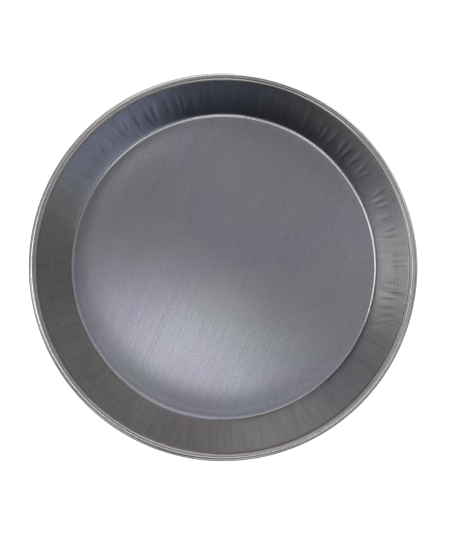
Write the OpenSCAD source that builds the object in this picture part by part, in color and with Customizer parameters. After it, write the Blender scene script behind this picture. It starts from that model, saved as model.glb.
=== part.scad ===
// Round cake tin, drawn from one disc of thin steel sheet: a flat base, a small corner bend,
// a straight slanted wall with draw puckers, and an edge rolled outwards into a hollow open curl.
// Millimetres. The origin is the centre of the underside, with +Z up.

/* [Rim] */
// Outside diameter over the rolled rim
rim_d = 240; // [225:1:300]
// Height from the underside to the top of the rolled rim
tin_h = 47; // [38:1:80]
// Width of the rolled rim, seen from above
curl_w = 5.2; // [3.6:0.1:8]
// How far round the edge of the sheet is rolled, in degrees
curl_turn = 285; // [200:5:295]

/* [Body] */
// Diameter of the flat of the base, up to where the corner bend starts
base_d = 201; // [150:1:210]
// Thickness of the sheet
sheet_t = 0.5; // [0.3:0.05:0.8]
// Radius of the bend between base and wall, on the inside
corner_r = 2.5; // [1:0.1:6]

/* [Puckers] */
// Height of the tallest puckers above the wall
pucker_h = 0.16; // [0.06:0.01:0.2]
// Width of the widest puckers
pucker_w = 2; // [1:0.1:2.4]
// Length of the longest puckers, up the wall
pucker_len = 26; // [8:1:28]
// Distance between neighbours in a group
pucker_pitch = 4.2; // [3:0.1:5]
// Lean of each pucker away from its neighbour in the group, in degrees
pucker_splay = 4; // [0:0.5:5]

/* [Hidden] */
$fn = 180;

// Where the wall gathered as it was drawn: the middle of each group of puckers, in degrees
// counterclockwise from +X, and how many puckers the group has
pucker_groups = [
    [6.4, 2], [11.7, 2], [17.2, 1], [23.3, 3], [34.2, 2], [39.3, 1], [44.2, 2], [49.6, 1],
    [54.1, 2], [60.6, 1], [81, 1], [91.7, 2],
    [100.3, 1], [104.8, 2], [109.1, 1], [115.3, 2], [120.4, 1], [126.6, 3], [132.2, 2],
    [137.7, 3], [142.4, 1], [146.2, 2],
    [341.5, 2], [345.5, 1], [349.7, 2], [354, 1], [359.5, 1]
];
// How much smaller a pucker is than the next one nearer to the middle of its group
fade = 0.12;
// The largest turn between two points of a bend in the section, in degrees
bend_step = 7.5;

// Centres of the corner bend and of the rolled rim, as [radius, height]
curl_r = curl_w / 2;
corner = [base_d / 2, sheet_t + corner_r];
curl = [rim_d / 2 - curl_r, tin_h - curl_r];

// The wall is the straight line that touches both bends
run = curl - corner;
wall_lean = acos((corner_r + curl_r) / norm(run)) - atan2(run[1], run[0]);
outward = [cos(wall_lean), -sin(wall_lean)];
wall_foot = corner + corner_r * outward;
wall_top = curl - curl_r * outward;
wall_mid = (wall_foot + wall_top) / 2;

// Points along a bend, from one direction to another
function bend(centre, r, from, to) =
    let (steps = ceil(abs(to - from) / bend_step))
    [for (i = [0 : steps])
        let (a = from + i * (to - from) / steps)
        centre + r * [cos(a), sin(a)]];

// Half of the sheet, cut through the middle of the tin: out along the underside, round the
// hollow of the rim to its free edge, and back along the upper side
module section() {
    roll_start = 180 - wall_lean;
    roll_end = roll_start - curl_turn;
    polygon(concat(
        [[0, 0]],
        bend(corner, corner_r + sheet_t, -90, -wall_lean),
        bend(curl, curl_r - sheet_t, roll_start, roll_end),
        bend(curl, curl_r, roll_end, roll_start),
        bend(corner, corner_r, -wall_lean, -90),
        [[0, sheet_t]]
    ));
}

// One pucker lying in the YZ plane, long in Z: a low ridge that rises h towards -X over a
// footprint of w by len. Its root goes on below the plane, so that it joins or cuts cleanly
module pucker(h, w, len) {
    root = 0.3 * h;
    grow = 1 + root / h;
    side = grow * w / 2;
    tip = grow * len / 2;
    shoulder = len / 6;
    footprint = [[0, -tip], [side, -shoulder], [side, shoulder],
        [0, tip], [-side, shoulder], [-side, -shoulder]];
    crest = [[-h, 0, -shoulder], [-h, 0, shoulder]];
    polyhedron(
        points = concat([for (p = footprint) [root, p[0], p[1]]], crest),
        faces = [[0, 1, 2, 3, 4, 5], [0, 6, 1], [1, 6, 7, 2], [2, 7, 3],
            [3, 7, 4], [4, 7, 6, 5], [5, 6, 0]]
    );
}

// All the puckers, at a depth below the upper side of the wall
module puckers(depth) {
    for (group = pucker_groups, i = [0 : group[1] - 1]) {
        from_middle = i - (group[1] - 1) / 2;
        size = 1 - fade * abs(from_middle);
        turn = group[0] + from_middle * pucker_pitch / wall_mid[0] * 180 / PI;
        rotate([0, 0, turn])
            translate([wall_mid[0], 0, wall_mid[1]])
                rotate([0, wall_lean, 0])
                    translate([depth, 0, 0])
                        rotate([-from_middle * pucker_splay, 0, 0])
                            pucker(size * pucker_h, size * pucker_w, size * pucker_len);
    }
}

// The whole tin. Each pucker stands up inside and leaves the same hollow outside, so the
// sheet keeps its thickness
module tin() {
    color("lightslategray")
        difference() {
            union() {
                rotate_extrude() section();
                puckers(0);
            }
            puckers(sheet_t);
        }
}

tin();
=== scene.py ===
import math

import bpy
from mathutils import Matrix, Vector


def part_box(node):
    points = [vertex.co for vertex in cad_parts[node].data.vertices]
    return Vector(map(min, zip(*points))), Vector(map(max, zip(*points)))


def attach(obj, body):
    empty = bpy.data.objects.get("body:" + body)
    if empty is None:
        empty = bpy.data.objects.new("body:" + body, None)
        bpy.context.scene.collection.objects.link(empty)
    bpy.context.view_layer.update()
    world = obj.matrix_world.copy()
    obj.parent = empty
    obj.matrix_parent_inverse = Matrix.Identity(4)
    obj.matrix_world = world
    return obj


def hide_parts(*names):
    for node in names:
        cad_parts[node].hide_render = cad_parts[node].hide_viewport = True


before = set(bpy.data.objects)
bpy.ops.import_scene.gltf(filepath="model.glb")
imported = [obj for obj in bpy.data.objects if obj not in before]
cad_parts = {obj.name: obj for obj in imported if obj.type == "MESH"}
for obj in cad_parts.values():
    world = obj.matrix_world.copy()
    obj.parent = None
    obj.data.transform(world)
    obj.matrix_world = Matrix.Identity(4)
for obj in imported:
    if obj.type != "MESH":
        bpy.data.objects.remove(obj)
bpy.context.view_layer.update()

bl_info = {
    "name": "Round cake tin",
    "version": (1, 0, 0),
    "blender": (4, 5, 0),
    "location": "3D View > Sidebar > Cake tin",
    "description": "A round sloping-sided cake tin of thin satin steel sheet, with its photo stage",
    "category": "Object",
}

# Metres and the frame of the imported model: the origin is the centre of the underside, +Z up.
TIN_LOW, TIN_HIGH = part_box("tin")

# The wrinkles of the drawn wall, as seen from above: where each one stands round the wall
# (degrees counterclockwise from +X), its height, its middle up the wall from the wall's own
# middle (metres), its length (metres) and its lean (degrees, to the left as it goes up).
PUCKERS = (
    (1.4, 0.23, 0.006, 0.020, 0), (5.3, 0.25, 0.008, 0.020, 2), (7.5, 0.25, 0.006, 0.018, -3),
    (10.8, 0.60, 0.000, 0.026, 3), (12.8, 0.60, -0.001, 0.026, -3), (17.2, 0.48, 0.000, 0.024, 0),
    (21.1, 0.60, 0.001, 0.024, 3), (23.2, 0.75, -0.001, 0.026, 0), (25.6, 0.65, 0.001, 0.022, -4),
    (33.2, 0.80, 0.000, 0.026, 3), (35.3, 0.80, -0.001, 0.025, -3), (39.3, 0.85, 0.000, 0.028, 2),
    (43.1, 1.00, -0.001, 0.028, 2), (45.4, 0.90, 0.000, 0.026, -4), (49.6, 0.80, 0.000, 0.026, 3),
    (52.9, 0.75, -0.001, 0.025, 0), (55.2, 0.75, 0.001, 0.024, -4), (60.6, 0.65, 0.000, 0.024, 0),
    (66.0, 0.35, -0.002, 0.020, 4), (74.0, 0.35, 0.000, 0.022, -2), (81.0, 0.40, 0.000, 0.022, 0),
    (86.2, 0.30, 0.000, 0.020, 3), (90.3, 0.45, -0.001, 0.024, 3), (93.2, 0.45, 0.001, 0.022, -3),
    (97.1, 0.30, 0.000, 0.020, 0), (100.3, 0.55, 0.000, 0.024, 3), (103.8, 0.60, -0.001, 0.026, 2),
    (105.9, 0.60, 0.001, 0.024, -3), (109.1, 0.60, 0.000, 0.024, 0), (114.1, 0.80, 0.000, 0.026, 4),
    (116.4, 0.80, -0.001, 0.026, -2), (120.4, 0.75, 0.000, 0.026, 2), (124.4, 0.80, 0.001, 0.026, 4),
    (126.5, 0.85, -0.001, 0.027, 0), (128.9, 0.80, 0.000, 0.025, -3), (131.4, 0.85, 0.001, 0.026, 5),
    (133.2, 0.85, -0.001, 0.027, -2), (136.4, 1.00, 0.000, 0.028, 11), (139.1, 1.00, 0.001, 0.028, -4),
    (142.4, 0.80, 0.000, 0.026, 3), (145.2, 0.75, 0.001, 0.026, -4), (147.4, 0.75, 0.000, 0.025, -10),
    (152.0, 0.30, 0.000, 0.020, 0), (159.0, 0.22, 0.004, 0.020, 0), (168.0, 0.20, 0.000, 0.022, 4),
    (177.0, 0.30, 0.004, 0.018, -3), (181.0, 0.30, 0.006, 0.018, 3), (186.5, 0.30, 0.008, 0.016, 0),
    (201.0, 0.25, 0.009, 0.016, 3), (213.0, 0.20, 0.008, 0.014, 0), (226.0, 0.25, 0.010, 0.014, -3),
    (237.5, 0.28, 0.009, 0.016, 0), (249.0, 0.25, 0.010, 0.014, 3), (259.0, 0.25, 0.008, 0.016, 0),
    (271.0, 0.18, 0.000, 0.018, 0), (288.0, 0.18, 0.004, 0.018, 3), (301.0, 0.20, 0.000, 0.018, -3),
    (311.5, 0.35, 0.000, 0.022, -4), (318.0, 0.22, 0.002, 0.018, 0), (325.0, 0.32, 0.000, 0.022, 4),
    (333.0, 0.30, 0.000, 0.022, 0), (340.5, 0.45, 0.000, 0.026, -15), (342.6, 0.48, -0.001, 0.026, -13),
    (345.6, 0.48, 0.000, 0.026, -10), (348.7, 0.60, -0.001, 0.028, -4), (350.8, 0.60, 0.001, 0.027, 2),
    (354.0, 0.39, 0.000, 0.024, 3), (357.4, 0.27, 0.005, 0.020, -3),
)

# Rub lines round the wall: the middle and half the reach of each (degrees), its height and
# thickness (metres), and how strong it is.
RUB_LINES = (
    (-1.2, 7.6, 0.0258, 0.0006, 0.75), (-1.5, 7.4, 0.0296, 0.0006, 0.85),
    (2.5, 3.4, 0.0246, 0.0005, 0.4), (182.5, 13.5, 0.0302, 0.0006, 0.85),
    (176.0, 6.0, 0.0322, 0.0005, 0.4), (200.0, 8.5, 0.0300, 0.0005, 0.6),
    (219.0, 7.0, 0.0292, 0.0006, 0.45), (231.0, 5.0, 0.0205, 0.0006, 0.3),
    (246.0, 6.0, 0.0330, 0.0006, 0.4), (174.0, 5.0, 0.0330, 0.0005, 0.35),
)
# Smears down the wall and nicks on the rim: where (degrees), between which heights, how wide
# (metres), and how strong.
SMEARS = (
    (179.4, 0.029, 0.0440, 0.0011, 0.85), (182.3, 0.0375, 0.0415, 0.0015, 0.6),
    (0.2, 0.018, 0.041, 0.0008, 0.55), (1.7, 0.022, 0.036, 0.0007, 0.5),
    (-1.6, 0.034, 0.044, 0.0007, 0.4), (-8.6, 0.024, 0.040, 0.0009, 0.6),
    (-7.4, 0.027, 0.034, 0.0007, 0.4), (190.0, 0.024, 0.034, 0.0010, 0.5),
    (199.0, 0.028, 0.040, 0.0009, 0.4), (219.0, 0.026, 0.034, 0.0016, 0.6),
    (245.5, 0.028, 0.037, 0.0014, 0.6), (228.0, 0.016, 0.030, 0.0010, 0.3),
    (205.0, 0.0445, 0.0470, 0.0006, 0.7), (209.0, 0.0450, 0.0470, 0.0005, 0.6),
    (249.0, 0.0445, 0.0470, 0.0005, 0.6), (268.0, 0.0440, 0.0470, 0.0006, 0.6),
)
# Faint spots on the base: place and size (metres), and how strong.
BASE_SPOTS = (
    (-0.0067, 0.0851, 0.0030, 0.30), (-0.0040, 0.0822, 0.0018, 0.25),
    (-0.0121, 0.0945, 0.0028, 0.25), (0.0931, 0.0402, 0.0022, 0.35),
)

# The lamps, all soft: name, azimuth and tilt from straight up (degrees), width and height of
# the oval face (metres), how bright the face is, and its colour.
LAMPS = (
    ("key", 243, 9, 0.45, 0.20, 1.10, (0.96, 0.93, 1.0)),
    ("key_core", 243, 8.3, 0.15, 0.13, 0.90, (1.0, 0.98, 1.0)),
    ("glow_left", 210, 15, 0.40, 0.30, 0.27, (0.88, 0.97, 1.0)),
    ("glow_right", 285, 15, 0.40, 0.30, 0.27, (0.84, 0.90, 1.0)),
    ("ceiling", 0, 0, 1.36, 1.36, 0.11, (0.96, 0.94, 1.0)),
    ("ceiling_far", 65, 12, 0.80, 0.40, 0.19, (1.0, 1.0, 0.97)),
    ("ceiling_right", 345, 19, 0.70, 0.35, 0.22, (0.98, 0.95, 1.0)),
    ("left", 195, 34, 0.83, 0.27, 1.2, (1.0, 0.97, 0.92)),
    ("left_core", 180, 34, 0.41, 0.27, 2.95, (1.0, 0.98, 0.93)),
    ("far_left", 130, 30, 1.00, 0.30, 1.15, (0.97, 0.95, 1.0)),
    ("far", 100, 46, 1.10, 0.32, 1.22, (1.0, 0.93, 0.80)),
    ("far_right", 45, 46, 1.10, 0.32, 1.05, (1.0, 0.95, 0.83)),
    ("right", 0, 46, 1.00, 0.32, 0.63, (1.0, 0.96, 0.84)),
    ("near_right", 315, 46, 1.00, 0.32, 1.62, (0.95, 0.94, 1.0)),
    ("low_far", 70, 60, 0.90, 0.30, 1.7, (1.0, 1.0, 1.0)),
    ("low_left", 195, 66, 0.55, 0.36, 1.0, (1.0, 1.0, 1.0)),
    ("low_near", 235, 66, 0.55, 0.36, 1.4, (1.0, 1.0, 1.0)),
    ("low_right", 272, 66, 0.55, 0.36, 1.6, (1.0, 1.0, 1.0)),
)
LAMP_DISTANCE = 1.25

# Rings of faces of the base: their distances from the axis, in metres
BASE_RADII = (0.0, 0.02, 0.04, 0.06, 0.074, 0.079, 0.083, 0.087, 0.091, 0.095, 0.0995)
UNDERSIDE_RADII = (0.0, 0.074, 0.083, 0.091, 0.0995)
# The base falls at its steepest from the first distance before its edge to the second, in metres
BASE_FULL_FALL, BASE_LEVEL_EDGE = 0.009, 0.0004
# Steps in which the fall is added up from one ring to the next
BASE_FALL_STEPS = 8
# Steps of the corner bend, the wall and the roll, on the sheet's underside and its upper side
CORNER_STEPS, WALL_STEPS, ROLL_STEPS = (7, 11), (12, 18), (12, 26)
# How far the cut edge of the sheet is rounded, and how near two points of the shell are merged,
# in metres
ROUND_EDGE, MERGE_DISTANCE = 0.00006, 0.000002
# A pucker's spread and half its reach, as parts of its width and length, and the part of the
# slant at each end of the wall over which the puckers die out
PUCKER_SPREAD, PUCKER_REACH, PUCKER_ENDS = 0.3, 0.6, 0.12

# Nothing is told by its side nearer to the axis than this, in metres
NEAR_AXIS = 0.001
# Sides of the tin where light or shade is painted on, in degrees: the direction of each, half the angle
# where it is full, and half the angle where it has faded out
FAR_SIDE = (65, 35, 70)
BLUE_REFLECTION_SIDE = (110, 28, 52)
FOOT_SHADE_SIDE = (75, 26, 58)
FOLD_SIDE = (205, 85, 125)
SHADE_RING_SIDE = (238, 45, 85)
CREASE_HIGHLIGHT_SIDE = (60, 65, 95)
TOP_SHIFT_SIDE = (110, 70, 110)
INNER_RIM_HIGHLIGHT_SIDE = (12, 32, 60)

# How the steel's own red, green and blue change: where it clouds, where the wall was drawn, and where a
# blue reflection is painted on the far wall
VIOLET_TINT, NEUTRAL_TINT = (1.0, 0.965, 1.05), (0.99, 1.01, 0.985)
WORKED_TINT, PAINTED_BLUE_REFLECTION_TINT = (1.065, 1.01, 0.935), (0.91, 0.975, 1.08)
# A ring of painted shade just inside the crease, and painted highlights on the crease, the top of the
# rolled rim and its inner slope
SHADE_RING_COLOUR = (0.25, 0.26, 0.29)
CREASE_HIGHLIGHT_COLOUR = (0.96, 0.96, 0.97)
RIM_HIGHLIGHT_COLOUR = (0.90, 0.91, 0.94)
INNER_RIM_HIGHLIGHT_COLOUR = (0.80, 0.80, 0.82)
# How far the colour of each is laid on where it is strongest
SHADE_RING_COVER, FOOT_SHADE_COVER, INNER_RIM_HIGHLIGHT_COVER, DIRT_AND_SHADE_COVER = 0.75, 0.9, 0.7, 0.6
# The least and the most of the painted highlight along the crease
CREASE_HIGHLIGHT_RANGE = (0.12, 1.0)

# Where the finishes start and end, in metres. Heights: the base's finish turns into the wall's, the
# crease ends, the painted shade at the foot of the far wall fades out, and the fold below the rim,
# where a dark reflection is painted, with its softness
WALL_START, CREASE_TOP, FOOT_SHADE_HEIGHTS = (0.0012, 0.0045), (0.0008, 0.0015), (0.004, 0.042)
FOLD = (0.0438, 0.0463, 0.0006)
# In from the rim's outer edge: the painted dark edge ends, the painted highlight on the top starts and
# ends, and the painted highlight on the inner slope starts; and how far out the top's highlight moves
# on its own side
PAINTED_DARK_EDGE, RIM_HIGHLIGHT_START, RIM_HIGHLIGHT_END = (0.0008, 0.0013), (0.0017, 0.0023), (0.0026, 0.0034)
INNER_SLOPE, TOP_SHIFT = (0.0038, 0.0046), 0.0008
# Out from the edge of the base: the crease starts, and the ring of painted shade starts and ends
CREASE_START, SHADE_RING_START, SHADE_RING_END = (-0.0002, 0.0001), (-0.0045, -0.0006), (-0.0002, 0.0002)
# The rolled rim reaches from the first to the second share of its radius
RIM_REACH = (1.04, 1.3)
# The part of each mark's size where it is full: a rub line's reach and thickness, a smear's width
# and a spot's size; then how a smear fades round the tin (degrees) and at its ends (metres)
RUB_FULL_REACH, RUB_CORE, SMEAR_CORE, SPOT_CORE = 0.75, 0.35, 0.3, 0.2
SMEAR_SIDE, SMEAR_END = (10, 20), 0.0012

# The steel's patterns: waves to a metre, detail and roughness. Where the waves have three
# numbers, grain and streaks run along the grain, across it and up. Draw marks and smears run
# round the wall, which they take to be one metre from the axis, and up it by the third number
PATTERNS = {
    "grain": ((9.0, 800.0, 60.0), 4.0, 0.62),
    "streak": ((16.0, 260.0, 30.0), 2.0, 0.6),
    "speckle": (800.0, 2.0, 0.7),
    "blotch": (26.0, 3.0, 0.55),
    "cloud": (11.0, 2.0, 0.5),
    "draw": ((95.0, 95.0, 24.0), 2.0, 0.5),
    "smear": ((26.0, 26.0, 28.0), 3.0, 0.62),
    "tick": (900.0, 2.0, 0.6),
}
# Between which values of a pattern the clouds change tint, and the marks break up into dots
CLOUD_EDGE, BREAK_UP = (0.35, 0.65), (0.28, 0.55)
# Between which values of the smears the painted dark reflection in the fold grows, from its least to
# its most
FOLD_PATCHES = (0.35, 0.6, 0.5, 0.9)
# How much each pattern shades the steel and raises it, on the base and on the wall
BASE_TONE = {"grain": 0.3, "blotch": 0.2, "speckle": 0.5}
WALL_TONE = {"draw": 0.4, "smear": 0.35, "speckle": 0.25}
BASE_RELIEF = {"grain": 0.6, "streak": 0.5, "speckle": 0.8}
WALL_RELIEF = {"draw": 2.2, "speckle": 0.10}
# The contrast of the shading on the base and on the wall
TONE_CONTRAST = (0.92, 1.3)
# How much of the patterns is rubbed off on the rolled rim and in the crease
RUBBED_SMOOTH = 0.88
# What the shading, the marks with the painted dark reflections, the wall and the rolled rim add to the
# roughness
TONE_ROUGH, DIRT_AND_SHADE_ROUGH, WALL_ROUGH, RIM_ROUGH = -0.04, 0.10, 0.04, -0.02

WHITE = (1.0, 1.0, 1.0, 1.0)
FLOOR_WIDTH = 6.0
# From where to where the mirrored floor turns from dim to pale, in metres past the axis, and how
# dim it starts
PALE_RISE, PALE_START = (-0.05, 0.15), 0.1
# The part of the backdrop's height up to which it is at its palest
BACKDROP_FULL = 0.4


class CakeTinShape(bpy.types.PropertyGroup):
    rim_diameter: bpy.props.FloatProperty(
        name="Rim diameter", description="Outside, over the rolled rim",
        default=TIN_HIGH.x - TIN_LOW.x, min=0.2, max=0.32, subtype="DISTANCE", unit="LENGTH")
    height: bpy.props.FloatProperty(
        name="Height", description="From the underside to the top of the rolled rim",
        default=TIN_HIGH.z - TIN_LOW.z, min=0.03, max=0.1, subtype="DISTANCE", unit="LENGTH")
    curl_width: bpy.props.FloatProperty(
        name="Curl width", description="Width of the rolled rim, seen from above",
        default=0.0052, min=0.003, max=0.01, precision=4, subtype="DISTANCE", unit="LENGTH")
    curl_turn: bpy.props.FloatProperty(
        name="Curl turn", description="How far round the edge of the sheet is rolled",
        default=math.radians(285), min=math.radians(180), max=math.radians(300), subtype="ANGLE",
        unit="ROTATION")
    base_diameter: bpy.props.FloatProperty(
        name="Base diameter", description="The flat of the base, up to the corner bend",
        default=0.20170, min=0.14, max=0.22, subtype="DISTANCE", unit="LENGTH")
    sheet: bpy.props.FloatProperty(
        name="Sheet", description="Thickness of the sheet",
        default=0.0005, min=0.0002, max=0.001, precision=5, subtype="DISTANCE", unit="LENGTH")
    corner_radius: bpy.props.FloatProperty(
        name="Corner radius", description="Inside radius of the bend between base and wall",
        default=0.0014, min=0.001, max=0.006, precision=4, subtype="DISTANCE", unit="LENGTH")
    wall_bow: bpy.props.FloatProperty(
        name="Wall bow", description="How far the middle of the wall bows out",
        default=0.0006, min=0.0, max=0.0008, precision=5, subtype="DISTANCE", unit="LENGTH")
    base_crown: bpy.props.FloatProperty(
        name="Base crown", description="How much the middle of the base stands above its edge",
        default=0.00062, min=0.0, max=0.001, precision=5, subtype="DISTANCE", unit="LENGTH")
    base_ring: bpy.props.FloatProperty(
        name="Base ring", description="Radius at which the base starts to fall towards its edge",
        default=0.079, min=0.05, max=0.095, precision=4, subtype="DISTANCE", unit="LENGTH")
    pucker_height: bpy.props.FloatProperty(
        name="Pucker height", description="Height of the tallest wrinkle of the wall",
        default=0.00032, min=0.0, max=0.0005, precision=6, subtype="DISTANCE", unit="LENGTH")
    pucker_width: bpy.props.FloatProperty(
        name="Pucker width", description="Width of a wrinkle at its foot",
        default=0.0030, min=0.001, max=0.006, precision=4, subtype="DISTANCE", unit="LENGTH")
    columns: bpy.props.IntProperty(
        name="Columns", description="Columns of faces round the tin",
        default=940, min=120, max=960)


class CakeTinSteel(bpy.types.PropertyGroup):
    colour: bpy.props.FloatVectorProperty(
        name="Colour", description="Colour of the satin sheet",
        default=(0.44, 0.45, 0.48), size=3, min=0.0, max=1.0, subtype="COLOR")
    roughness: bpy.props.FloatProperty(
        name="Roughness", description="Roughness of the satin sheet",
        default=0.24, min=0.0, max=1.0, subtype="FACTOR")
    grain_depth: bpy.props.FloatProperty(
        name="Grain depth", description="Depth of the rolling grain and the draw marks",
        default=0.000004, min=0.0, max=0.0001, precision=6, subtype="DISTANCE", unit="LENGTH")
    grain_angle: bpy.props.FloatProperty(
        name="Grain angle", description="Direction of the rolling grain across the base, from +X",
        default=math.radians(67), subtype="ANGLE", unit="ROTATION")
    # Painted shade: the dark colour laid at the foot of the far wall
    painted_foot_shade_colour: bpy.props.FloatVectorProperty(
        name="Painted foot shade colour", description="Colour of the tarnish at the foot of the far wall",
        default=(0.155, 0.172, 0.22), size=3, min=0.0, max=1.0, subtype="COLOR")
    # Also laid on as painted dark reflections in the fold below the rim and on the rim's outer edge
    dirt_and_shade_colour: bpy.props.FloatVectorProperty(
        name="Dirt and shade colour", description="Colour of the rub lines, smears and dirt",
        default=(0.24, 0.21, 0.19), size=3, min=0.0, max=1.0, subtype="COLOR")


class CakeTinStage(bpy.types.PropertyGroup):
    camera_place: bpy.props.FloatVectorProperty(
        name="Camera place", description="Where the camera stands, above the tin",
        default=(0.0044, -0.0037, 0.556), size=3, precision=4, subtype="TRANSLATION", unit="LENGTH")
    lens: bpy.props.FloatProperty(
        name="Lens", description="Focal length in millimetres",
        default=55.78, min=20, max=200, subtype="DISTANCE_CAMERA")
    shift: bpy.props.FloatVectorProperty(
        name="Shift", description="Shift of the picture, in parts of its height",
        default=(-0.0099, 0.0099), size=2, precision=4)
    floor_colour: bpy.props.FloatVectorProperty(
        name="Floor colour", description="Colour of the floor",
        default=(0.9, 0.9, 0.9), size=3, min=0.0, max=1.0, subtype="COLOR")
    floor_white: bpy.props.FloatProperty(
        name="Floor white", description="What the floor adds to its own light where it is seen",
        default=0.90, min=0.0, max=1.0, subtype="FACTOR")
    bright_side: bpy.props.FloatProperty(
        name="Bright side", description="Where the metal mirrors the floor at its palest, from +X",
        default=math.radians(60), subtype="ANGLE", unit="ROTATION")
    room_light: bpy.props.FloatProperty(
        name="Room light", description="Brightness of the room all round",
        default=0.075, min=0.0, max=1.0, subtype="FACTOR")
    backdrop_top: bpy.props.FloatProperty(
        name="Backdrop top", description="How high above the floor the pale backdrop reaches",
        default=math.radians(22), min=math.radians(5), max=math.radians(60), subtype="ANGLE",
        unit="ROTATION")


def turned(angle, length):
    """The end of a line of some length that starts at the origin and points at the angle."""
    return length * math.cos(angle), length * math.sin(angle)


def bend(centre, radius, start, end, steps):
    """Points of an arc in the section, as (distance from the axis, height)."""
    points = []
    for i in range(steps + 1):
        x, z = turned(start + (end - start) * i / steps, radius)
        points.append((centre[0] + x, centre[1] + z))
    return points


def base_rows(shape, depth, radii):
    """The base at some depth below its upper side: level in the middle, and falling faintly
    over its outer ring, until it is level again just before the corner bend."""
    ring, edge = shape.base_ring, shape.base_diameter / 2
    fall, last, heights = 0.0, 0.0, []
    for r in radii:
        for i in range(BASE_FALL_STEPS):
            here = last + (r - last) * (i + 0.5) / BASE_FALL_STEPS
            share = min(1.0, max(0.0, (here - ring) / (edge - BASE_FULL_FALL - ring)))
            share *= min(1.0, (edge - here) / BASE_LEVEL_EDGE)
            fall += share * (r - last) / BASE_FALL_STEPS
        last = r
        heights.append(fall)
    return [(r, shape.sheet - depth + shape.base_crown * (1 - fallen / fall))
            for r, fallen in zip(radii, heights)]


def section_rows(shape):
    """The closed outline of the sheet from the middle of the underside, round the rolled
    edge and back to the middle of the upper side. Each row is (distance from the axis,
    height, distance up the wall from its middle, share of the wall's wrinkles). The second
    result is how far the wall leans out, as an angle."""
    sheet, corner_r, curl_r = shape.sheet, shape.corner_radius, shape.curl_width / 2
    corner = Vector((shape.base_diameter / 2, sheet + corner_r))
    curl = Vector((shape.rim_diameter / 2 - curl_r, shape.height - curl_r))

    # The wall touches both bends
    run = curl - corner
    lean = math.acos((corner_r + curl_r) / run.length) - math.atan2(run.y, run.x)
    outward = Vector((math.cos(lean), -math.sin(lean)))
    up_wall = Vector((math.sin(lean), math.cos(lean)))
    foot, top = corner + corner_r * outward, curl - curl_r * outward
    middle, slant = (foot + top) / 2, (top - foot).length

    def wall(depth, steps):
        """The wall, bowed out faintly between its foot and the rolled rim."""
        return [foot + (top - foot) * i / steps + outward * (
            depth + shape.wall_bow * 4 * i / steps * (1 - i / steps)) for i in range(1, steps)]

    # The roll starts where the wall ends, and its cut edge is rounded
    roll_start, down = math.pi - lean, -math.pi / 2
    roll_end = roll_start - shape.curl_turn
    edge_out = curl + Vector(turned(roll_end, curl_r))
    edge_in = curl + Vector(turned(roll_end, curl_r - sheet))
    across = (edge_out - edge_in).normalized()
    along = Vector((across.y, -across.x))
    cut_edge = (edge_in + ROUND_EDGE * (across + along), edge_out + ROUND_EDGE * (along - across))

    rows = [(r, z, 0.0) for r, z in base_rows(shape, sheet, UNDERSIDE_RADII)]
    rows += [(r, z, 0.0) for r, z in bend(corner, corner_r + sheet, down, -lean, CORNER_STEPS[0])]
    rows += [(p.x, p.y, 1.0) for p in wall(sheet, WALL_STEPS[0])]
    rows += [(r, z, 0.0) for r, z in bend(
        curl, curl_r - sheet, roll_start, roll_end, ROLL_STEPS[0])]
    rows += [(p.x, p.y, 0.0) for p in cut_edge]
    rows += [(r, z, 0.0) for r, z in bend(curl, curl_r, roll_end, roll_start, ROLL_STEPS[1])]
    rows += [(p.x, p.y, 1.0) for p in reversed(wall(0.0, WALL_STEPS[1]))]
    rows += [(r, z, 0.0) for r, z in bend(corner, corner_r, -lean, down, CORNER_STEPS[1])]
    rows += [(r, z, 0.0) for r, z in reversed(base_rows(shape, 0.0, BASE_RADII))]
    made = []
    for r, z, on_wall in rows:
        up = (Vector((r, z)) - middle).dot(up_wall)
        share = on_wall * min(1.0, max(0.0, (slant / 2 - abs(up)) / (PUCKER_ENDS * slant)))
        made.append((r, z, up, share))
    return made, lean


def points_mesh(name, places, **values):
    """A mesh of loose points, with each list of values as a named attribute."""
    mesh = bpy.data.meshes.new(name)
    mesh.from_pydata(places, [], [])
    for attribute, numbers in values.items():
        mesh.attributes.new(attribute, "FLOAT", "POINT").data.foreach_set("value", numbers)
    return mesh


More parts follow.
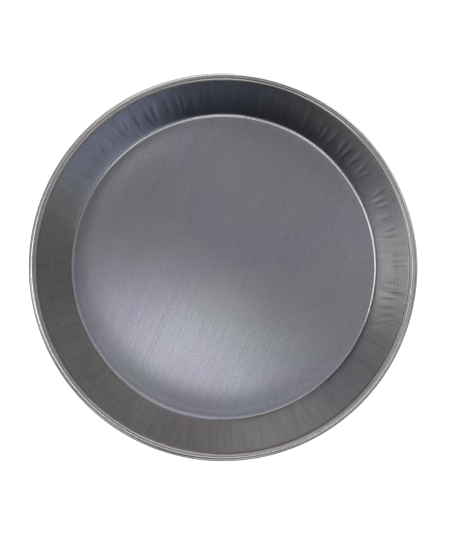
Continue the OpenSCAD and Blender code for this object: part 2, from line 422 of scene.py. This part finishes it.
class Nodes:
    """Makes and links the nodes of one tree. Each method gives the new node's result."""

    def __init__(self, tree):
        self.tree = tree

    def put(self, kind, sockets=None, **settings):
        """The outputs of a new node with its settings, and each named socket linked or set."""
        node = self.tree.nodes.new(kind)
        for key, value in settings.items():
            setattr(node, key, value)
        for key, value in (sockets or {}).items():
            if isinstance(value, bpy.types.NodeSocket):
                self.tree.links.new(value, node.inputs[key])
            else:
                node.inputs[key].default_value = value
        return node.outputs

    def calculate(self, operation, *values):
        return self.put("ShaderNodeMath", dict(enumerate(values)), operation=operation)[0]

    def times(self, first, *others):
        for value in others:
            first = self.calculate("MULTIPLY", first, value)
        return first

    def plus(self, first, *others):
        for value in others:
            first = self.calculate("ADD", first, value)
        return first

    def less(self, first, second):
        return self.calculate("SUBTRACT", first, second)

    def most(self, first, second):
        return self.calculate("MAXIMUM", first, second)

    def weighed(self, *parts):
        """The sum of some values, each with its weight."""
        return self.plus(*[self.times(value, weight) for value, weight in parts])

    def fade(self, value, low, high, low_value=0.0, high_value=1.0):
        """The value, eased from one range to another."""
        return self.put("ShaderNodeMapRange", {
            "Value": value, "From Min": low, "From Max": high, "To Min": low_value,
            "To Max": high_value}, interpolation_type="SMOOTHSTEP")["Result"]

    def vector_math(self, operation, first, *others):
        """One Vector Math node: a number for a length or a distance, otherwise a vector."""
        outputs = self.put(
            "ShaderNodeVectorMath", dict(enumerate((first, *others))), operation=operation)
        return outputs["Value" if operation in ("LENGTH", "DISTANCE") else "Vector"]

    def split(self, vector):
        x, y, z = self.put("ShaderNodeSeparateXYZ", {"Vector": vector})
        return x, y, z

    def join(self, x, y, z):
        return self.put("ShaderNodeCombineXYZ", {"X": x, "Y": y, "Z": z})[0]

    # The Mix node's sockets go by their numbers, because their names repeat

    def mix(self, factor, first, second):
        """A number between two."""
        return self.put("ShaderNodeMix", {0: factor, 2: first, 3: second})[0]

    def blend(self, factor, first, second):
        """A colour between two."""
        first, second = [
            colour if isinstance(colour, bpy.types.NodeSocket) else
            tuple(min(1.0, max(0.0, c)) for c in colour) + (1.0,) for colour in (first, second)]
        return self.put("ShaderNodeMix", {0: factor, 6: first, 7: second}, data_type="RGBA")[2]


class ShellNodes(Nodes):
    """The Geometry Nodes of the shell."""

    def position(self):
        return self.put("GeometryNodeInputPosition")[0]

    def named(self, attribute):
        return self.put("GeometryNodeInputNamedAttribute", {"Name": attribute})[0]

    def pick(self, geometry, value, index, data_type="FLOAT"):
        """The value of one point of another geometry."""
        return self.put("GeometryNodeSampleIndex", {
            "Geometry": geometry, "Value": value, "Index": index}, data_type=data_type)[0]

    def point_count(self, geometry):
        return self.put("GeometryNodeAttributeDomainSize", {"Geometry": geometry})["Point Count"]

    def placed(self, geometry, x, y, z):
        return self.put("GeometryNodeSetPosition", {
            "Geometry": geometry, "Position": self.join(x, y, z)})[0]

    def section_sheet(self, section, columns):
        """A flat sheet of faces: a row for each point of the section, laid at its place, and
        a column for each step round the tin."""
        rows = self.point_count(section)
        grid = self.put("GeometryNodeMeshGrid", {
            "Size X": 1.0, "Size Y": 1.0, "Vertices X": self.plus(columns, 1.0),
            "Vertices Y": rows})["Mesh"]
        grid_x, grid_y, _ = self.split(self.position())
        around = self.times(self.plus(grid_x, 0.5), math.tau)
        row = self.calculate("ROUND", self.times(self.plus(grid_y, 0.5), self.less(rows, 1.0)))
        x, _, z = self.split(self.pick(section, self.position(), row, "FLOAT_VECTOR"))
        for name, value in (
                ("around", around), ("up", self.pick(section, self.named("up"), row)),
                ("share", self.pick(section, self.named("share"), row))):
            grid = self.put("GeometryNodeStoreNamedAttribute", {
                "Geometry": grid, "Name": name, "Value": value})[0]
        return self.placed(grid, x, 0.0, z)

    def wrinkles(self, sheet, pucker_object, width):
        """How far the puckers raise each point of the sheet, added up one after another."""
        puckers = self.put("GeometryNodeObjectInfo", {"Object": pucker_object})["Geometry"]
        loop_in = self.tree.nodes.new("GeometryNodeRepeatInput")
        loop_out = self.tree.nodes.new("GeometryNodeRepeatOutput")
        loop_in.pair_with_output(loop_out)
        loop_out.repeat_items.new("FLOAT", "Raised")
        self.tree.links.new(self.point_count(puckers), loop_in.inputs["Iterations"])
        self.tree.links.new(sheet, loop_in.inputs["Geometry"])
        self.tree.links.new(loop_in.outputs["Geometry"], loop_out.inputs["Geometry"])
        turn, tall, middle, long, lean = [
            self.pick(puckers, self.named(name), loop_in.outputs["Iteration"])
            for name in ("turn", "tall", "middle", "long", "lean")]

        # Bell-shaped across the pucker, and rounded off towards both of its ends
        radius, _, _ = self.split(self.position())
        rise = self.less(self.named("up"), middle)
        side = self.times(radius, self.calculate(
            "WRAP", self.less(self.named("around"), turn), math.pi, -math.pi))
        side = self.plus(side, self.times(rise, self.calculate("TANGENT", lean)))
        across = self.calculate("DIVIDE", side, self.times(width, PUCKER_SPREAD))
        bell = self.calculate("EXPONENT", self.times(across, across, -0.5))
        along = self.calculate("DIVIDE", rise, self.times(long, PUCKER_REACH))
        end = self.most(self.less(1.0, self.times(along, along)), 0.0)
        ridge = self.times(tall, bell, end, end)
        self.tree.links.new(
            self.plus(loop_in.outputs["Raised"], ridge), loop_out.inputs["Raised"])
        return loop_out.outputs["Geometry"], loop_out.outputs["Raised"]

    def round_axis(self, sheet, raised, lean):
        """The sheet, raised square to the wall and then bent round the axis."""
        x, _, z = self.split(self.position())
        out = self.less(x, self.times(raised, self.calculate("COSINE", lean)))
        high = self.plus(z, self.times(raised, self.calculate("SINE", lean)))
        around = self.named("around")
        return self.placed(
            sheet, self.times(out, self.calculate("COSINE", around)),
            self.times(out, self.calculate("SINE", around)), high)


def shell_tree():
    """Turns the section round the axis and raises the wrinkles of the wall."""
    tree = bpy.data.node_groups.new("tin shell", "GeometryNodeTree")
    for name, kind in (
            ("Section", "NodeSocketGeometry"), ("Columns", "NodeSocketInt"),
            ("Wall Lean", "NodeSocketFloat"), ("Puckers", "NodeSocketObject"),
            ("Pucker Height", "NodeSocketFloat"), ("Pucker Width", "NodeSocketFloat"),
            ("Material", "NodeSocketMaterial")):
        tree.interface.new_socket(name, in_out="INPUT", socket_type=kind)
    tree.interface.new_socket("Shell", in_out="OUTPUT", socket_type="NodeSocketGeometry")
    nodes = ShellNodes(tree)
    given = tree.nodes.new("NodeGroupInput").outputs
    sheet = nodes.section_sheet(given["Section"], given["Columns"])
    sheet, raised = nodes.wrinkles(sheet, given["Puckers"], given["Pucker Width"])
    raised = nodes.times(raised, nodes.times(nodes.named("share"), given["Pucker Height"]))
    shell = nodes.round_axis(sheet, raised, given["Wall Lean"])
    shell = nodes.put("GeometryNodeMergeByDistance", {
        "Geometry": shell, "Distance": MERGE_DISTANCE})[0]
    shell = nodes.put("GeometryNodeSetShadeSmooth", {"Geometry": shell, "Shade Smooth": True})[0]
    shell = nodes.put("GeometryNodeRealizeInstances", {"Geometry": shell})[0]
    shell = nodes.put("GeometryNodeSetMaterial", {
        "Geometry": shell, "Material": given["Material"]})[0]
    nodes.put("NodeGroupOutput", {"Shell": shell})
    return tree


def set_input(modifier, name, value):
    """Sets a modifier's named input by its socket's identifier."""
    for item in modifier.node_group.interface.items_tree:
        if item.item_type == "SOCKET" and item.in_out == "INPUT" and item.name == name:
            modifier[item.identifier] = value


class SteelNodes(Nodes):
    """The nodes of the tin's steel, with masks that are 1 on one part of it and 0 off it."""

    def __init__(self, tree, shape):
        super().__init__(tree)
        self.shape = shape
        self.place = self.put("ShaderNodeTexCoord")["Object"]
        self.x, self.y, self.z = self.split(self.place)
        self.radius = self.vector_math("LENGTH", self.join(self.x, self.y, 0.0))
        self.from_edge = self.less(shape.rim_diameter / 2, self.radius)
        self.on_wall = self.fade(self.z, *WALL_START)
        curl_r = shape.curl_width / 2
        from_curl = self.vector_math("DISTANCE", self.join(self.radius, self.z, 0.0), (
            shape.rim_diameter / 2 - curl_r, shape.height - curl_r, 0.0))
        self.on_curl = self.fade(from_curl, *[curl_r * share for share in RIM_REACH], 1.0, 0.0)
        self.off_curl = self.times(self.on_wall, self.less(1.0, self.on_curl))
        self.past_base = self.less(self.radius, shape.base_diameter / 2)
        self.at_crease = self.times(
            self.fade(self.past_base, *CREASE_START), self.fade(self.z, *CREASE_TOP, 1.0, 0.0))
        self.unrubbed = self.less(1.0, self.times(
            self.most(self.on_curl, self.at_crease), RUBBED_SMOOTH))

    def pattern(self, name, place):
        """One of the steel's patterns, with one scale or its own along each axis."""
        scale, detail, rough = PATTERNS[name]
        if isinstance(scale, tuple):
            place, scale = self.vector_math("MULTIPLY", place, scale), 1.0
        return self.put("ShaderNodeTexNoise", {
            "Vector": place, "Scale": scale, "Detail": detail, "Roughness": rough})["Fac"]

    def mixed(self, weights):
        """Several patterns together, each with its weight."""
        return self.weighed(*[(self.patterns[name], weight) for name, weight in weights.items()])

    def towards(self, degrees, low, high):
        """1 round one side of the tin, fading out between two angles from it."""
        side_x, side_y = turned(math.radians(degrees), 1.0)
        ahead = self.weighed((self.x, side_x), (self.y, side_y))
        return self.fade(
            self.calculate("DIVIDE", ahead, self.most(self.radius, NEAR_AXIS)),
            math.cos(math.radians(high)), math.cos(math.radians(low)))

    def band(self, low, high, soft):
        """1 between two heights up the wall."""
        return self.times(
            self.fade(self.z, low - soft, low + soft),
            self.fade(self.z, high - soft, high + soft, 1.0, 0.0))

    def make_patterns(self, grain_angle):
        """Grain straight across, as the sheet was rolled, with its streaks, specks and clouds,
        and draw marks and smears up the wall."""
        along_grain = self.put("ShaderNodeVectorRotate", {
            "Vector": self.place, "Angle": -grain_angle}, rotation_type="Z_AXIS")[0]
        outwards = self.vector_math("NORMALIZE", self.join(self.x, self.y, 0.0))
        wall_x, wall_y, _ = self.split(outwards)
        around_wall = self.join(wall_x, wall_y, self.z)
        places = {
            "grain": along_grain, "streak": along_grain, "draw": around_wall, "smear": around_wall}
        self.patterns = {
            name: self.pattern(name, places.get(name, self.place)) for name in PATTERNS}

    def rub_line(self, degrees, reach, height, thick, strength):
        off = self.calculate("ABSOLUTE", self.less(self.z, height))
        return self.times(
            self.towards(degrees, reach * RUB_FULL_REACH, reach),
            self.fade(off, thick * RUB_CORE, thick, 1.0, 0.0), strength)

    def smear_mark(self, degrees, low, high, wide, strength):
        side_x, side_y = turned(math.radians(degrees), 1.0)
        off = self.calculate("ABSOLUTE", self.less(
            self.times(self.y, side_x), self.times(self.x, side_y)))
        return self.times(
            self.fade(off, wide * SMEAR_CORE, wide, 1.0, 0.0), self.towards(degrees, *SMEAR_SIDE),
            self.band(low, high, SMEAR_END), strength)

    def base_spot(self, spot_x, spot_y, wide, strength):
        off = self.vector_math("DISTANCE", self.place, (spot_x, spot_y, self.shape.sheet))
        return self.times(self.fade(off, wide * SPOT_CORE, wide, 1.0, 0.0), strength)

    def dirt_and_shade(self):
        """Rub lines where tins were stacked, smears, spots and nicks, all broken up finely, and painted
        dark reflections: patches in the fold below the rim, and the darkened outer edge of the rim's
        near side."""
        marks = [self.rub_line(*line) for line in RUB_LINES]
        marks += [self.smear_mark(*mark) for mark in SMEARS]
        marks += [self.base_spot(*spot) for spot in BASE_SPOTS]
        broken = self.times(self.plus(*marks), self.fade(self.patterns["tick"], *BREAK_UP))
        # Painted dark reflection: patches darkened in the fold below the rim, round one side
        fold = self.times(
            self.towards(*FOLD_SIDE), self.band(*FOLD),
            self.fade(self.patterns["smear"], *FOLD_PATCHES))
        # Painted dark reflection: the outer edge of the rim darkened everywhere but the far side
        painted_dark_edge = self.times(
            self.fade(self.from_edge, *PAINTED_DARK_EDGE, 1.0, 0.0),
            self.less(1.0, self.towards(*FAR_SIDE)), self.on_curl)
        return self.most(self.calculate("MINIMUM", self.plus(broken, fold), 1.0), painted_dark_edge)

    def painted_rim_highlight(self):
        """A painted highlight on the top of the rolled rim. It reaches the outer edge on the far side,
        and lies further out on its own side."""
        from_top = self.plus(
            self.from_edge, self.times(self.towards(*TOP_SHIFT_SIDE), TOP_SHIFT))
        return self.times(
            self.on_curl, self.fade(from_top, *RIM_HIGHLIGHT_END, 1.0, 0.0),
            self.most(self.fade(from_top, *RIM_HIGHLIGHT_START), self.towards(*FAR_SIDE)))

    def colour(self, steel):
        """The sheet's colour: clouded and turned by the drawing of the wall, with painted light on it:
        a blue reflection on the far wall, shade at the foot of the far wall and in a ring inside the
        crease, and highlights on the crease and on the rolled rim.
        """
        violet, neutral, worked, painted_blue_reflection = [
            tuple(c * k for c, k in zip(steel.colour, tint))
            for tint in (VIOLET_TINT, NEUTRAL_TINT, WORKED_TINT, PAINTED_BLUE_REFLECTION_TINT)]
        colour = self.blend(self.fade(self.patterns["cloud"], *CLOUD_EDGE), violet, neutral)
        # Painted shade: a dark bluish ring on the base just inside the crease, on one side
        painted_shade_ring = self.times(
            self.towards(*SHADE_RING_SIDE),
            self.fade(self.past_base, *SHADE_RING_START, 0.0, SHADE_RING_COVER),
            self.fade(self.past_base, *SHADE_RING_END, 1.0, 0.0))
        colour = self.blend(painted_shade_ring, colour, SHADE_RING_COLOUR)
        colour = self.blend(self.on_wall, colour, worked)
        # Painted reflection: a blue tint on the far wall, for a bluish light mirrored there
        colour = self.blend(self.times(self.off_curl, self.towards(*BLUE_REFLECTION_SIDE)), colour, painted_blue_reflection)
        # Painted shade: the foot of the far wall darkened, fading out up the wall
        painted_foot_shade = self.times(
            self.off_curl, self.towards(*FOOT_SHADE_SIDE),
            self.fade(self.z, *FOOT_SHADE_HEIGHTS, FOOT_SHADE_COVER, 0.0))
        colour = self.blend(painted_foot_shade, colour, steel.painted_foot_shade_colour)
        # Painted highlight: the crease lightened faintly all round and most on the far side
        painted_crease_highlight = self.times(
            self.at_crease, self.fade(self.towards(*CREASE_HIGHLIGHT_SIDE), 0.0, 1.0, *CREASE_HIGHLIGHT_RANGE))
        colour = self.blend(painted_crease_highlight, colour, CREASE_HIGHLIGHT_COLOUR)
        # Painted highlight on the top of the rolled rim
        colour = self.blend(self.painted_rim_highlight(), colour, RIM_HIGHLIGHT_COLOUR)
        # Painted highlight: a light band on the rim's inner slope, round one side
        inner_rim_highlight = self.times(
            self.on_curl, self.fade(self.from_edge, *INNER_SLOPE), self.towards(*INNER_RIM_HIGHLIGHT_SIDE),
            INNER_RIM_HIGHLIGHT_COVER)
        return self.blend(inner_rim_highlight, colour, INNER_RIM_HIGHLIGHT_COLOUR)


def tinned_steel(steel, shape):
    """Satin rolled sheet: straight grain across it, faint blotches, rubbed walls and a
    smoother rolled rim."""
    material = bpy.data.materials.new("tinned steel")
    material.use_nodes = True
    tree = material.node_tree
    shader = tree.nodes["Principled BSDF"]
    shader.inputs["Metallic"].default_value = 1.0
    nodes = SteelNodes(tree, shape)
    nodes.make_patterns(steel.grain_angle)
    dirt_and_shade = nodes.dirt_and_shade()

    # Lighter and darker by the patterns, and less so where it is rubbed smooth
    tone = nodes.less(
        nodes.mix(nodes.on_wall, nodes.mixed(BASE_TONE), nodes.mixed(WALL_TONE)), 0.5)
    contrast = nodes.times(nodes.unrubbed, nodes.fade(nodes.on_wall, 0.0, 1.0, *TONE_CONTRAST))
    # The colour of the marks is also laid on as painted dark reflections in the fold below the rim and
    # on the rim's outer edge
    colour = nodes.blend(nodes.times(dirt_and_shade, DIRT_AND_SHADE_COVER), nodes.colour(steel), steel.dirt_and_shade_colour)
    shade = nodes.plus(1.0, nodes.times(tone, contrast))
    tinted = nodes.put("ShaderNodeVectorMath", {0: colour, "Scale": shade}, operation="SCALE")[0]
    tree.links.new(tinted, shader.inputs["Base Color"])

    # Duller on the wall, under the marks and under the painted dark reflections, smoother on the rolled
    # rim
    rough = nodes.plus(steel.roughness, nodes.weighed(
        (tone, TONE_ROUGH), (dirt_and_shade, DIRT_AND_SHADE_ROUGH), (nodes.on_wall, WALL_ROUGH),
        (nodes.on_curl, RIM_ROUGH)))
    tree.links.new(rough, shader.inputs["Roughness"])

    # Relief: grain lines on the base, draw lines on the wall
    relief = nodes.mix(nodes.on_wall, nodes.mixed(BASE_RELIEF), nodes.mixed(WALL_RELIEF))
    bump = nodes.put("ShaderNodeBump", {
        "Strength": 1.0, "Distance": steel.grain_depth,
        "Height": nodes.times(relief, nodes.unrubbed)})[0]
    tree.links.new(bump, shader.inputs["Normal"])
    return material


class CakeTinMakeShell(bpy.types.Operator):
    """Make the tin: one sheet with its base, slanted wall and rolled rim"""
    bl_idname = "object.cake_tin_make_shell"
    bl_label = "Make the tin"

    def execute(self, context):
        shape = context.scene.cake_tin_shape
        rows, lean = section_rows(shape)
        section = points_mesh(
            "tin section", [(r, 0.0, z) for r, z, _, _ in rows],
            up=[row[2] for row in rows], share=[row[3] for row in rows])
        section_object = bpy.data.objects.new("tin section", section)
        puckers = points_mesh(
            "tin puckers", [(0.0, 0.0, 0.0)] * len(PUCKERS),
            turn=[math.radians(p[0]) for p in PUCKERS], tall=[p[1] for p in PUCKERS],
            middle=[p[2] for p in PUCKERS], long=[p[3] for p in PUCKERS],
            lean=[math.radians(p[4]) for p in PUCKERS])
        pucker_object = bpy.data.objects.new("tin puckers", puckers)
        for made in (section_object, pucker_object):
            context.scene.collection.objects.link(made)
        modifier = section_object.modifiers.new("shell", "NODES")
        modifier.node_group = shell_tree()
        for name, value in (
                ("Columns", shape.columns), ("Wall Lean", lean), ("Puckers", pucker_object),
                ("Pucker Height", shape.pucker_height), ("Pucker Width", shape.pucker_width),
                ("Material", tinned_steel(context.scene.cake_tin_steel, shape))):
            set_input(modifier, name, value)
        context.view_layer.update()
        ready = section_object.evaluated_get(context.evaluated_depsgraph_get())
        mesh = bpy.data.meshes.new_from_object(ready)
        mesh.name = "tin shell"
        if len(mesh.polygons) < shape.columns:
            raise RuntimeError("the shell came out without its faces")
        section_object.modifiers.clear()
        for made in (section_object, pucker_object):
            bpy.data.objects.remove(made)
        tin = bpy.data.objects.new("tin_shell", mesh)
        context.scene.collection.objects.link(tin)
        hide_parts("tin")
        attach(tin, "root")
        return {"FINISHED"}


def seen_in_metal(nodes, path):
    """1 on a ray that a smooth surface has sent on."""
    return nodes.most(path["Is Glossy Ray"], path["Is Transmission Ray"])


def make_floor(scene, stage):
    """A pale matt floor. The camera sees it white, and the metal mirrors it palest on its
    bright side."""
    half = FLOOR_WIDTH / 2
    mesh = bpy.data.meshes.new("floor")
    mesh.from_pydata(
        [(-half, -half, 0), (half, -half, 0), (half, half, 0), (-half, half, 0)], [],
        [(0, 1, 2, 3)])
    material = bpy.data.materials.new("pale floor")
    material.use_nodes = True
    material.node_tree.nodes.clear()
    nodes = Nodes(material.node_tree)
    matt = nodes.put("ShaderNodeBsdfDiffuse", {"Color": tuple(stage.floor_colour) + (1.0,)})[0]
    path = nodes.put("ShaderNodeLightPath")
    x, y, _ = nodes.split(nodes.put("ShaderNodeTexCoord")["Object"])
    side_x, side_y = turned(stage.bright_side, 1.0)
    mirrored = nodes.fade(
        nodes.weighed((x, side_x), (y, side_y)), *PALE_RISE, PALE_START * stage.floor_white,
        stage.floor_white)
    seen = nodes.most(
        nodes.times(path["Is Camera Ray"], stage.floor_white),
        nodes.times(mirrored, seen_in_metal(nodes, path)))
    glow = nodes.put("ShaderNodeEmission", {"Color": WHITE, "Strength": seen})[0]
    both = nodes.put("ShaderNodeAddShader", {0: matt, 1: glow})[0]
    nodes.put("ShaderNodeOutputMaterial", {"Surface": both})
    mesh.materials.append(material)
    floor = bpy.data.objects.new("floor", mesh)
    scene.collection.objects.link(floor)


def make_room(scene, stage):
    """The room: a faint light from all round. The camera sees it white, and the metal mirrors
    a pale backdrop low down all round."""
    world = bpy.data.worlds.new("room")
    scene.world = world
    world.use_nodes = True
    world.node_tree.nodes.clear()
    nodes = Nodes(world.node_tree)
    path = nodes.put("ShaderNodeLightPath")
    _, _, rise = nodes.split(nodes.put("ShaderNodeTexCoord")["Generated"])
    backdrop = nodes.fade(
        rise, math.sin(stage.backdrop_top * BACKDROP_FULL), math.sin(stage.backdrop_top), 1.0, 0.0)
    seen = nodes.most(path["Is Camera Ray"], nodes.times(backdrop, seen_in_metal(nodes, path)))
    room = nodes.put("ShaderNodeBackground", {
        "Color": WHITE, "Strength": nodes.mix(seen, stage.room_light, 1.0)})[0]
    nodes.put("ShaderNodeOutputWorld", {"Surface": room})


def make_lamp(scene, name, azimuth, tilt, width, height, level, colour):
    """A soft oval lamp that faces the tin. Its power is pi times its brightness and its area."""
    lamp = bpy.data.lights.new(name, "AREA")
    lamp.shape = "ELLIPSE"
    lamp.size, lamp.size_y = width, height
    lamp.energy = level * math.pi * math.pi * width * height / 4
    lamp.color = colour
    holder = bpy.data.objects.new(name + "_lamp", lamp)
    out, up = turned(math.radians(90 - tilt), LAMP_DISTANCE)
    holder.location = (*turned(math.radians(azimuth), out), up)
    holder.rotation_euler = Vector(holder.location).to_track_quat("Z", "Y").to_euler()
    scene.collection.objects.link(holder)


def make_camera(scene, stage):
    camera = bpy.data.cameras.new("camera")
    camera.lens = stage.lens
    camera.shift_x, camera.shift_y = stage.shift
    camera.clip_start, camera.clip_end = 0.01, 20.0
    viewer = bpy.data.objects.new("camera", camera)
    viewer.location = stage.camera_place
    scene.collection.objects.link(viewer)
    scene.camera = viewer


class CakeTinMakeStage(bpy.types.Operator):
    """Make the floor, the lamps, the room light and the camera"""
    bl_idname = "object.cake_tin_make_stage"
    bl_label = "Make the stage"

    def execute(self, context):
        scene = context.scene
        stage = scene.cake_tin_stage
        make_floor(scene, stage)
        make_room(scene, stage)
        for lamp in LAMPS:
            make_lamp(scene, *lamp)
        make_camera(scene, stage)
        scene.view_settings.view_transform = "Standard"
        return {"FINISHED"}


class CakeTinPanel(bpy.types.Panel):
    """The sizes, the finish and the stage of the cake tin"""
    bl_idname = "VIEW3D_PT_cake_tin"
    bl_label = "Cake tin"
    bl_space_type = "VIEW_3D"
    bl_region_type = "UI"
    bl_category = "Cake tin"

    def draw(self, context):
        for label, group, operator in (
                ("Tin", context.scene.cake_tin_shape, CakeTinMakeShell.bl_idname),
                ("Steel", context.scene.cake_tin_steel, None),
                ("Stage", context.scene.cake_tin_stage, CakeTinMakeStage.bl_idname)):
            box = self.layout.box()
            box.label(text=label)
            for name in group.__annotations__:
                box.prop(group, name)
            if operator:
                box.operator(operator)


CLASSES = (
    CakeTinShape, CakeTinSteel, CakeTinStage, CakeTinMakeShell, CakeTinMakeStage, CakeTinPanel)


def register():
    for made in CLASSES:
        bpy.utils.register_class(made)
    bpy.types.Scene.cake_tin_shape = bpy.props.PointerProperty(type=CakeTinShape)
    bpy.types.Scene.cake_tin_steel = bpy.props.PointerProperty(type=CakeTinSteel)
    bpy.types.Scene.cake_tin_stage = bpy.props.PointerProperty(type=CakeTinStage)


def unregister():
    del bpy.types.Scene.cake_tin_stage
    del bpy.types.Scene.cake_tin_steel
    del bpy.types.Scene.cake_tin_shape
    for made in reversed(CLASSES):
        bpy.utils.unregister_class(made)


def main():
    register()
    bpy.ops.object.cake_tin_make_shell()
    bpy.ops.object.cake_tin_make_stage()


if __name__ == "__main__":
    main()
